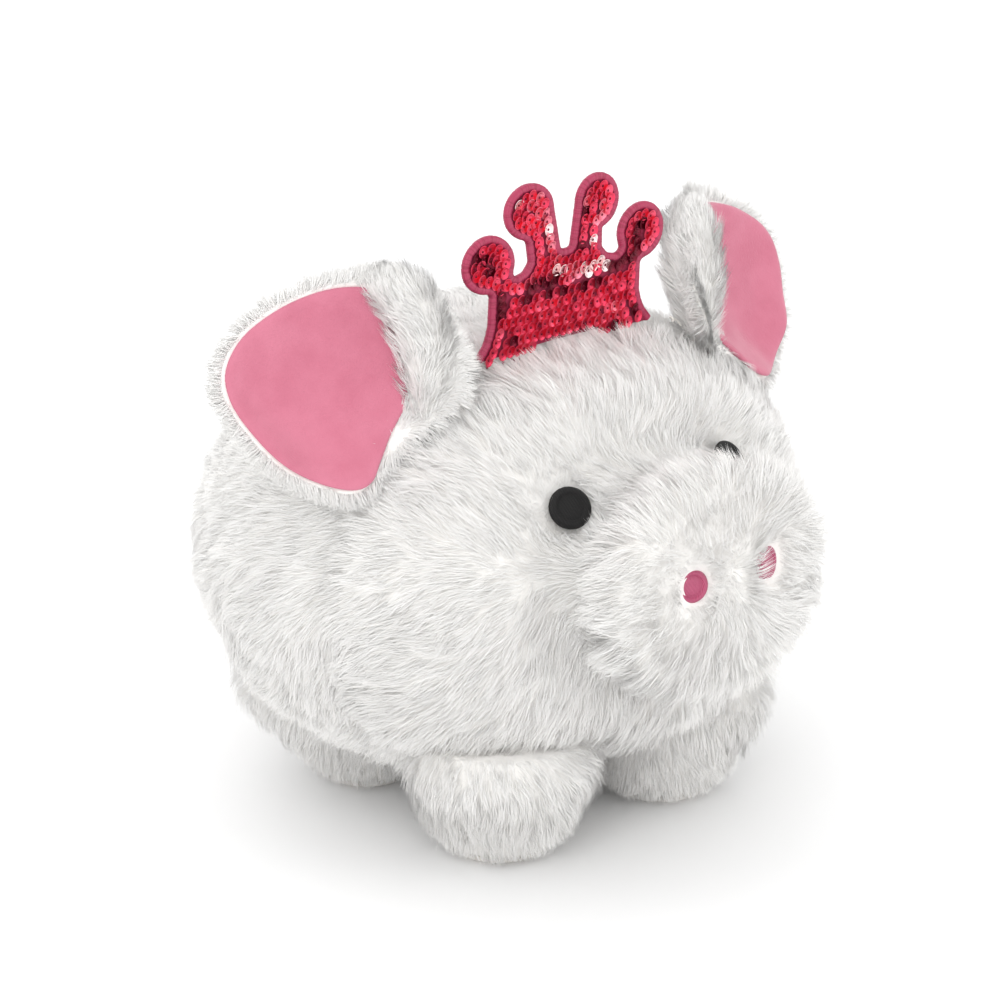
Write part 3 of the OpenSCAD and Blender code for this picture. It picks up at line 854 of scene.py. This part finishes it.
def sequin_painted_light(spots, foot):
    """Painted highlight and painted shade on each sequin, set by place: highlight along a line down from an
    inner lobe, shade along a line below it.
    """
    # ridge and hollow are only lines on the flat cloth: painted highlight is set along ridge, painted shade
    # along hollow and in a ring in the outer left lobe; the sequins keep the same tilt there
    ridge = np.array([(-11.5, 49), (-8, 40), (-4, 30), (-1, 23), (8, 21.5), (15, 22), (13, 32), (13.5, 41)])
    hollow = np.array([(-26, 17.5), (-10, 18), (14, 17.5), (23, 20), (29, 24), (31, 32)])
    ridge, hollow = ridge + [0, foot], hollow + [0, foot]
    shine = np.maximum(gauss(distance_to(spots, ridge, closed=False), 3.0),
                       0.8 * gauss(distance_to(spots, ridge[:1] + [-1.5, 1]), 6.5))
    shade = np.maximum(gauss(distance_to(spots, hollow, closed=False), 2.4),
                       0.65 * gauss(distance_to(spots, hollow[:1] + [-5, 11]) - 2.2, 2.4))
    return shine, shade


# shares of crimson, rose, pink, painted highlight and wine sequins: PLAIN is the sequins' own mix, SHINING is
# painted highlight and SHADED painted shade, mostly wine
PLAIN, SHINING, SHADED = np.array([(0.66, 0.26, 0.03, 0.0, 0.05), (0.12, 0.16, 0.36, 0.36, 0),
                                   (0.28, 0.02, 0, 0, 0.70)])


def sequins(edge, face_y):
    """Cupped, pierced discs sewn in overlapping strings over the crown's front."""
    r = np.random.default_rng(SEED + 5)
    spots = sequin_spots(edge, r)
    disc, quads = cupped_disc()
    shine, shade = sequin_painted_light(spots, edge[0, 1])
    verts, faces, tones, middles = [], [], [], []
    for k, (x, z) in enumerate(spots):
        tip, roll = math.radians(6) + r.normal(0, 0.05), math.radians(9) + r.normal(0, 0.06)
        c, s = math.cos(tip), math.sin(tip)
        p = disc @ np.array([[1, 0, 0], [0, c, s], [0, -s, c]])
        c, s = math.cos(roll), math.sin(roll)
        p = p @ np.array([[c, s, 0], [-s, c, 0], [0, 0, 1]])
        middle = np.array([x, face_y - 0.15 - abs(r.normal(0, 0.07)), z])
        faces.append(quads + len(verts) * len(disc))
        verts.append(p + middle)
        middles.append(middle)
        # each sequin's tone is drawn by place: painted highlight near the ridge line, painted shade near the
        # hollow line
        weights = max(0.0, 1 - shine[k] - shade[k]) * PLAIN + shine[k] * SHINING + shade[k] * SHADED
        tones.append(np.full(len(quads), r.choice(5, p=weights / weights.sum())))
    piece = make("crown_sequins", np.vstack(verts), np.vstack(faces), SEQUINS, "sequins", smooth=False,
                 index=np.concatenate(tones))
    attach(piece, "crown")
    sequin_knots(middles)


def sequin_knots(middles):
    """A knot of thread in the hole of each sequin."""
    sides = 6
    dome = [(0.42, 0.0), (0.38, 0.12), (0.2, 0.22), (0.02, 0.25)]
    angles = np.arange(sides) * math.pi / 3
    ring = np.array([(q * math.cos(a), -h, q * math.sin(a)) for q, h in dome for a in angles])
    one = np.array(lathe_faces(len(dome), sides)[:-2])
    verts = [ring + middle for middle in middles]
    faces = [one + k * len(ring) for k in range(len(middles))]
    knots = make("crown_sequin_knots", np.vstack(verts), np.vstack(faces), SEQUINS[4], "sequins")
    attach(knots, "crown")


CLOTH_T, BORDER_T = 1.4, 2.3                # thickness of the crown's cloth and of its border


def crown_cloth(edge, middle):
    """The stiffened cloth between the sequins and the back."""
    rim = np.vstack([edge - 0.5 * right_of(edge), crown_foot(edge)])
    count = len(rim)
    verts = [(x, middle + k * CLOTH_T / 2, z) for k in (-1, 1) for x, z in rim]
    faces = [tuple(range(count))[::-1], tuple(range(count, 2 * count))]
    faces += [(i, (i + 1) % count, (i + 1) % count + count, i + count) for i in range(count)]
    plate = make("crown_felt", verts, faces, FELT, "crown_felt", smooth=False)
    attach(plate, "crown")
    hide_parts("crown_front", "crown_core", "crown_back", "crown_hem")


def crown_border(edge, middle):
    """The satin-stitched edge, a padded ridge along the outline with one row of vertices for each thread."""
    path = resampled(edge, 0.26)
    outward = -right_of(path)
    centre = path + 1.1 * outward
    sides, rows = 16, len(path)
    r = np.random.default_rng(SEED + 6)
    thread = np.where(np.arange(rows) % 2 == 0, 0.07, -0.04) + r.normal(0, 0.025, rows)
    a = np.arange(sides) * 2 * math.pi / sides
    across = np.sign(np.cos(a)) * np.abs(np.cos(a)) ** 0.7
    depth = np.sign(np.sin(a)) * np.abs(np.sin(a)) ** 0.8
    verts = np.empty((rows, sides, 3))
    for k in range(sides):
        verts[:, k, [0, 2]] = centre + (across[k] * (1.25 + thread))[:, None] * outward
        verts[:, k, 1] = middle + depth[k] * (BORDER_T / 2 + thread)
    tone = r.choice(2, rows - 1, p=(0.72, 0.28))
    border = make("crown_border_satin", verts.reshape(-1, 3), tube_faces(rows, sides), [SATIN, SATIN_DARK],
                  "satin_border", index=np.concatenate([np.repeat(tone, sides), [0, 0]]))
    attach(border, "crown")
    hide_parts("crown_border")


def crown():
    edge = crown_edge()
    lo, hi = box("crown_border")
    middle = (lo[1] + hi[1]) / 2 - 0.7
    sequins(edge, middle - CLOTH_T / 2)
    crown_cloth(edge, middle)
    crown_border(edge, middle)


# ------------ tail, label, seams
def tail():
    """A velour curl of one and a quarter turns, with its root in the back."""
    pin = pivot("tail_bend")
    end = box("tail")[1][1] - 1.8
    curl, thick, turn = 7.0, 3.5, 450
    a = np.linspace(0, turn, 110)
    s = np.radians(a)
    path = np.stack([curl * np.sin(s), pin[1] + (end - pin[1]) * a / turn,
                     pin[2] + curl * (np.cos(s) - 1)], 1)
    lead = np.stack([np.linspace(-3.0, -0.4, 10), np.linspace(pin[1] - 11, pin[1] - 0.6, 10),
                     np.full(10, pin[2])], 1)
    path = np.vstack([lead, path])
    radii = np.concatenate([np.full(10, thick), thick * (1 - 0.45 * a / turn)])
    radii[-5:] *= (0.95, 0.86, 0.72, 0.5, 0.2)
    verts, faces = tube(path, radii, 20)
    obj = make("tail_curl", verts, faces, TAIL_VELOUR, "pink_velour")
    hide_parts("tail")
    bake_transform(obj)


def label():
    """A blank strip of satin, folded once with both ends in the back seam."""
    lo, hi = box("care_label")
    y0, y1, thick, apart = lo[1], hi[1] - 0.8, 0.16, 0.55
    bend = np.linspace(-math.pi / 2, math.pi / 2, 9)
    line = np.vstack([np.stack([np.full(12, -apart), np.linspace(y0, y1, 12)], 1),
                      np.stack([apart * np.sin(bend), y1 + apart * np.cos(bend)], 1)[1:-1],
                      np.stack([np.full(12, apart), np.linspace(y1, y0, 12)], 1)])
    n = right_of(line)
    z = np.linspace(lo[2], hi[2], 9)
    verts, rows, cols = [], len(line), len(z)
    for off in (thick / 2, -thick / 2):
        for i in range(rows):
            for h in z:
                sway = 0.5 * math.sin((h - lo[2]) / 5) * (line[i, 1] - y0) / (y1 - y0)
                verts.append((line[i, 0] + off * n[i, 0] + sway, line[i, 1] + off * n[i, 1], h))
    k = rows * cols
    faces = []
    for i in range(rows - 1):
        for j in range(cols - 1):
            q = (i * cols + j, i * cols + j + 1, (i + 1) * cols + j + 1, (i + 1) * cols + j)
            faces += [q[::-1], tuple(k + x for x in q)]
    rim = ([(i, 0) for i in range(rows)] + [(rows - 1, j) for j in range(1, cols)]
           + [(i, cols - 1) for i in range(rows - 2, -1, -1)] + [(0, j) for j in range(cols - 2, 0, -1)])
    for (i, j), (p, q) in zip(rim, rim[1:] + rim[:1]):
        faces.append((i * cols + j, k + i * cols + j, k + p * cols + q, p * cols + q))
    obj = make("care_label_loop", verts, faces, LABEL, "label_satin")
    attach(obj, "body")
    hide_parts("care_label")


def seam_stitches():
    """Ladder stitches where the ears, the crown and the tail are sewn on."""
    for name, joint, along, reach, depth, material in (
            ("ear_left_seam", "ear_left_flop", EAR_OUT, 22, 3.0, STITCH),
            ("ear_right_seam", "ear_right_flop", EAR_OUT * [-1, 1, 1], 22, 3.0, STITCH),
            ("crown_seam", "crown_tilt", np.array([1.0, 0, 0]), 28, 10.6, SATIN),
            ("tail_seam", "tail_bend", np.array([1.0, 0, 0]), 4, 3.0, TAIL_VELOUR)):
        at = pivot(joint)
        out = unit(at - BODY)
        across = unit(np.cross(along, out))
        verts, faces = [], []
        for k, d in enumerate(np.arange(-reach, reach + 0.1, 3.2)):
            lean = 0.9 if k % 2 else -0.9
            low = at + d * along - depth * out
            path = np.array([low - 1.6 * across - lean * along, low - 0.8 * across + 0.5 * out,
                             low + 0.8 * across + 0.5 * out, low + 1.6 * across + lean * along])
            v, f = tube(spline(path, 9), np.full(9, 0.35), 8)
            faces += [[len(verts) * len(v) + i for i in face] for face in f]
            verts.append(v)
        piece = make(name + "_stitches", np.vstack(verts), faces, material, "seam_thread")
        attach(piece, "body")
        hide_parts(name)


# ------------ pile on every skin
def body_flow(p):
    """The way the body's pile is combed: away from the snout, down the sides and back over the rump."""
    away = unit(p - SNOUT)
    low = ramp(p[:, 2], 128, 72)
    back = ramp(p[:, 1], SEAM_Y - 10, SEAM_Y + 50)
    flow = away.copy()
    flow[:, 1] += 0.35 + 0.5 * back
    flow[:, 2] += 0.25 * (1 - low) - 1.15 * low - 0.7 * back
    return flow


def on_open_body(p, n):
    """Which roots lie off the embroidery, outside the snout's foot and outside the feet."""
    ring = np.hypot(p[:, 0] / SNOUT_R[0], (p[:, 2] - SNOUT[2]) / SNOUT_R[2])
    ok = clear_of_spots(p) & ~((ring < 0.78) & (p[:, 1] < SNOUT[1] + 40))
    for at in FEET.values():
        ok &= ~((np.hypot(p[:, 0] - at[0], p[:, 1] - at[1]) < 19) & (p[:, 2] < 40))
    return ok


def parted(skin, p):
    """The pieces that a body skin's pile is made in, each with the roots that belong to it."""
    x, y, z = p.T
    high, low = z > CREST_Z, z <= LOW_Z
    between = ~high & ~low
    if skin == "face_skin":
        return {"forehead": high, "cheek_left": between & (x > 0), "cheek_right": between & (x <= 0),
                "chin_left": low & (x > 0), "chin_right": low & (x <= 0)}
    if skin == "belly_skin":
        return {"belly": np.ones(len(p), bool)}
    side = skin.split("_")[1]
    return {side + "_crest": high, side + "_flank": between & (y < RUMP_Y),
            side + "_rump": between & (y >= RUMP_Y), side + "_haunch": low}


def pile_of_body(skins):
    for name, per_mm2, seed in (("face_skin", 1.7, 1), ("back_left_skin", 1.4, 2),
                                ("back_right_skin", 1.6, 3), ("belly_skin", 1.0, 4)):
        rng = np.random.default_rng(SEED + seed)
        p, n = roots_on(skins[name], per_mm2, rng, on_open_body)
        flow, long = away_from_spots(p, body_flow(p), 9.5)
        at_crown = gauss(p[:, 1] - SEAM_Y + 4, 5) * ramp(p[:, 2], 140, 148)
        pile = strands(p, n, flow, long * (1 + 0.25 * at_crown), rng)
        free = ~(in_a_lining(pile[1]) | in_a_lining(pile[2]))
        for part, mask in parted(name, p).items():
            piece = fur("pile_" + part, "plush", rng, *(v[mask & free] for v in pile))
            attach(piece, "body")


def pile_of_feet(feet):
    for name, skin in feet.items():
        rng = np.random.default_rng(SEED + 40 + sorted(feet).index(name))
        at = FEET[name]
        p, n = roots_on(skin, 1.6, rng, lambda p, n: (p[:, 2] > 2.6) & (n[:, 2] < 0.8) & (n[:, 2] > -0.92))
        flow = unit(np.stack([p[:, 0] - at[0], p[:, 1] - at[1], np.zeros(len(p))], 1)) * 0.35 + [0, 0, -1.0]
        long = 3.6 + 5.0 * ramp(p[:, 2], 3, 20)
        root, bend, tip, width, soft = strands(p, n, flow, long, rng, tilt=(48, 68))
        for points in (bend, tip):
            points[:, 2] = np.maximum(points[:, 2], 0.4)
        piece = fur("pile_foot_" + name, "plush", rng, root, bend, tip, width, soft)
        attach(piece, "body")


def pile_of_snout(skins):
    rng = np.random.default_rng(SEED + 60)
    middle = np.array([0, SNOUT_TIP, SNOUT[2] + 2])
    for skin in skins:
        p, n = roots_on(skin, 1.8, rng, lambda p, n: clear_of_spots(p) & (p[:, 1] < SNOUT[1] + 36))
        flow, long = away_from_spots(p, unit(p - middle) + [0, 0.5, -0.12], 11.0)
        parting = gauss(np.linalg.norm(p - middle, axis=1), 5.5)
        tilt = (50 - 18 * parting, 70 - 26 * parting)
        pile = strands(p, n, flow, long, rng, tilt=tilt, stray=0.3)
        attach(fur("pile_" + skin.name.replace("_skin", ""), "plush", rng, *pile), "body")


def flat_directions(q, origin):
    """Unit directions in an ear's own plane, away from an origin."""
    return unit(np.stack([q[:, 0] - origin[0], q[:, 1] - origin[1], np.zeros(len(q))], 1))


def pile_of_ear_back(side, back, outline, rng):
    """Pile behind an ear and, denser and flatter, on the rim round its lining."""
    flip = np.array([SIDES[side], 1, 1])
    pink = pink_outline()

    def facing_front(n):
        return (n * flip) @ EAR_AXES[2]

    def keep(p, n):
        q = ear_space(p, side)
        rim = ~inside(q[:, :2], pink) | (distance_to(q[:, :2], pink) < 0.6)
        return ((facing_front(n) < 0.1) | rim) & ((q[:, 1] > -7.5) | (q[:, 0] > 14))

    def keep_rim(p, n):
        return keep(p, n) & (facing_front(n) > -0.1)

    p, n = (np.vstack(v) for v in zip(roots_on(back, 2.8, rng, keep), roots_on(back, 5.0, rng, keep_rim)))
    q = ear_space(p, side)
    facing = ramp(facing_front(n), 0, 0.7)
    edge = ramp(distance_to(q[:, :2], outline), 7, 0)[:, None]
    flow = flat_directions(q, (2, -14)) * (1 - edge) + flat_directions(q, EAR_MIDDLE) * 1.4 * edge
    root, bend, tip, width, soft = strands(p, n, (flow @ EAR_AXES) * flip, 7.0 - 1.5 * facing, rng, size=4.0,
                                           tilt=(50 + 24 * facing, 66 + 13 * facing))
    # the fringe lets light through, so it's shaded as the front of the ear is
    lit = edge * np.maximum(ramp(q[:, 1], -3, 9), ramp(q[:, 0], 6, 14))[:, None]
    soft = unit(soft + 1.6 * lit * (EAR_FRONT * flip) + 0.5 * lit * [0, 0, 1])
    hinged(fur("pile_ear_%s_back" % side, "plush", rng, root, bend, tip, width, soft))


def pile_of_ear_fold(side, fold, rng):
    """Pile that fans out from the foot of the fold."""
    p, n = roots_on(fold, 3.0, rng)
    q = ear_space(p, side)
    flow = ((q - [-8, -12, 0]) @ EAR_AXES) * [SIDES[side], 1, 1]
    long = 8.0 - 3.0 * ramp(q[:, 1], 22, 40)
    pile = strands(p, n, flow, long, rng, size=4.0, tilt=(58, 71))
    hinged(fur("pile_ear_%s_fold" % side, "plush", rng, *pile))


def pile_of_ears(made):
    for side, (back, fold, outline) in made.items():
        rng = np.random.default_rng(SEED + 70 + SIDES[side])
        pile_of_ear_back(side, back, outline, rng)
        pile_of_ear_fold(side, fold, rng)


# ------------ stage
def lamp(name, place, power, width):
    """A square soft light that looks at the toy."""
    light = bpy.data.lights.new(name, "AREA")
    light.energy, light.size = power, width * MM
    obj = bpy.data.objects.new(name, light)
    obj.location = [c * MM for c in place]
    obj.rotation_mode = "QUATERNION"
    obj.rotation_quaternion = Vector(unit(np.array([0, 0, 90]) - place)).to_track_quat("-Z", "Y")
    bpy.context.scene.collection.objects.link(obj)


def stage():
    world = bpy.data.worlds.new("studio")
    world.use_nodes = True
    world.node_tree.nodes["Background"].inputs["Color"].default_value = (1, 1, 1, 1)
    world.node_tree.nodes["Background"].inputs["Strength"].default_value = 1.06
    bpy.context.scene.world = world
    far = 6000
    corners = [(-far, -far, 0), (far, -far, 0), (far, far, 0), (-far, far, 0)]
    white = principled("floor_white", (0.93, 0.93, 0.93), 0.9)
    floor = make("studio_floor", corners, [(0, 1, 2, 3)], white, "plush")
    del floor["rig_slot"]
    lamp("key", (-1100, -800, 950), 7.5, 1000)
    lamp("fill", (900, -1200, 400), 3, 1000)
    lamp("top", (0, 300, 1500), 2, 1200)
    lamp("back", (200, 1300, 700), 3.5, 1200)
    bpy.context.scene.view_settings.view_transform = "Standard"


def camera():
    """A long lens, 41 degrees round to the pig's right and 20 degrees above it."""
    azimuth, elevation, distance = math.radians(-41), math.radians(20), 1100
    back = Vector((math.sin(azimuth) * math.cos(elevation), -math.cos(azimuth) * math.cos(elevation),
                   math.sin(elevation)))
    target = Vector((0, BODY[1] - 8, BODY[2] + 5)) * MM
    data = bpy.data.cameras.new("camera")
    data.lens, data.sensor_width = 124.7, 36
    data.shift_x, data.shift_y = -0.02, 0.02
    data.clip_end = 30
    cam = bpy.data.objects.new("camera", data)
    cam.location = target + back * distance * MM
    cam.rotation_mode = "QUATERNION"
    cam.rotation_quaternion = (-back).to_track_quat("-Z", "Y")
    bpy.context.scene.collection.objects.link(cam)
    bpy.context.scene.camera = cam


camera()
body = body_skins()
snout = snout_skins()
feet = foot_skins()
eyes_and_nostrils()
ear_parts = ears()
crown()
tail()
label()
seam_stitches()
pile_of_body(body)
pile_of_feet(feet)
pile_of_snout(snout)
pile_of_ears(ear_parts)
stage()
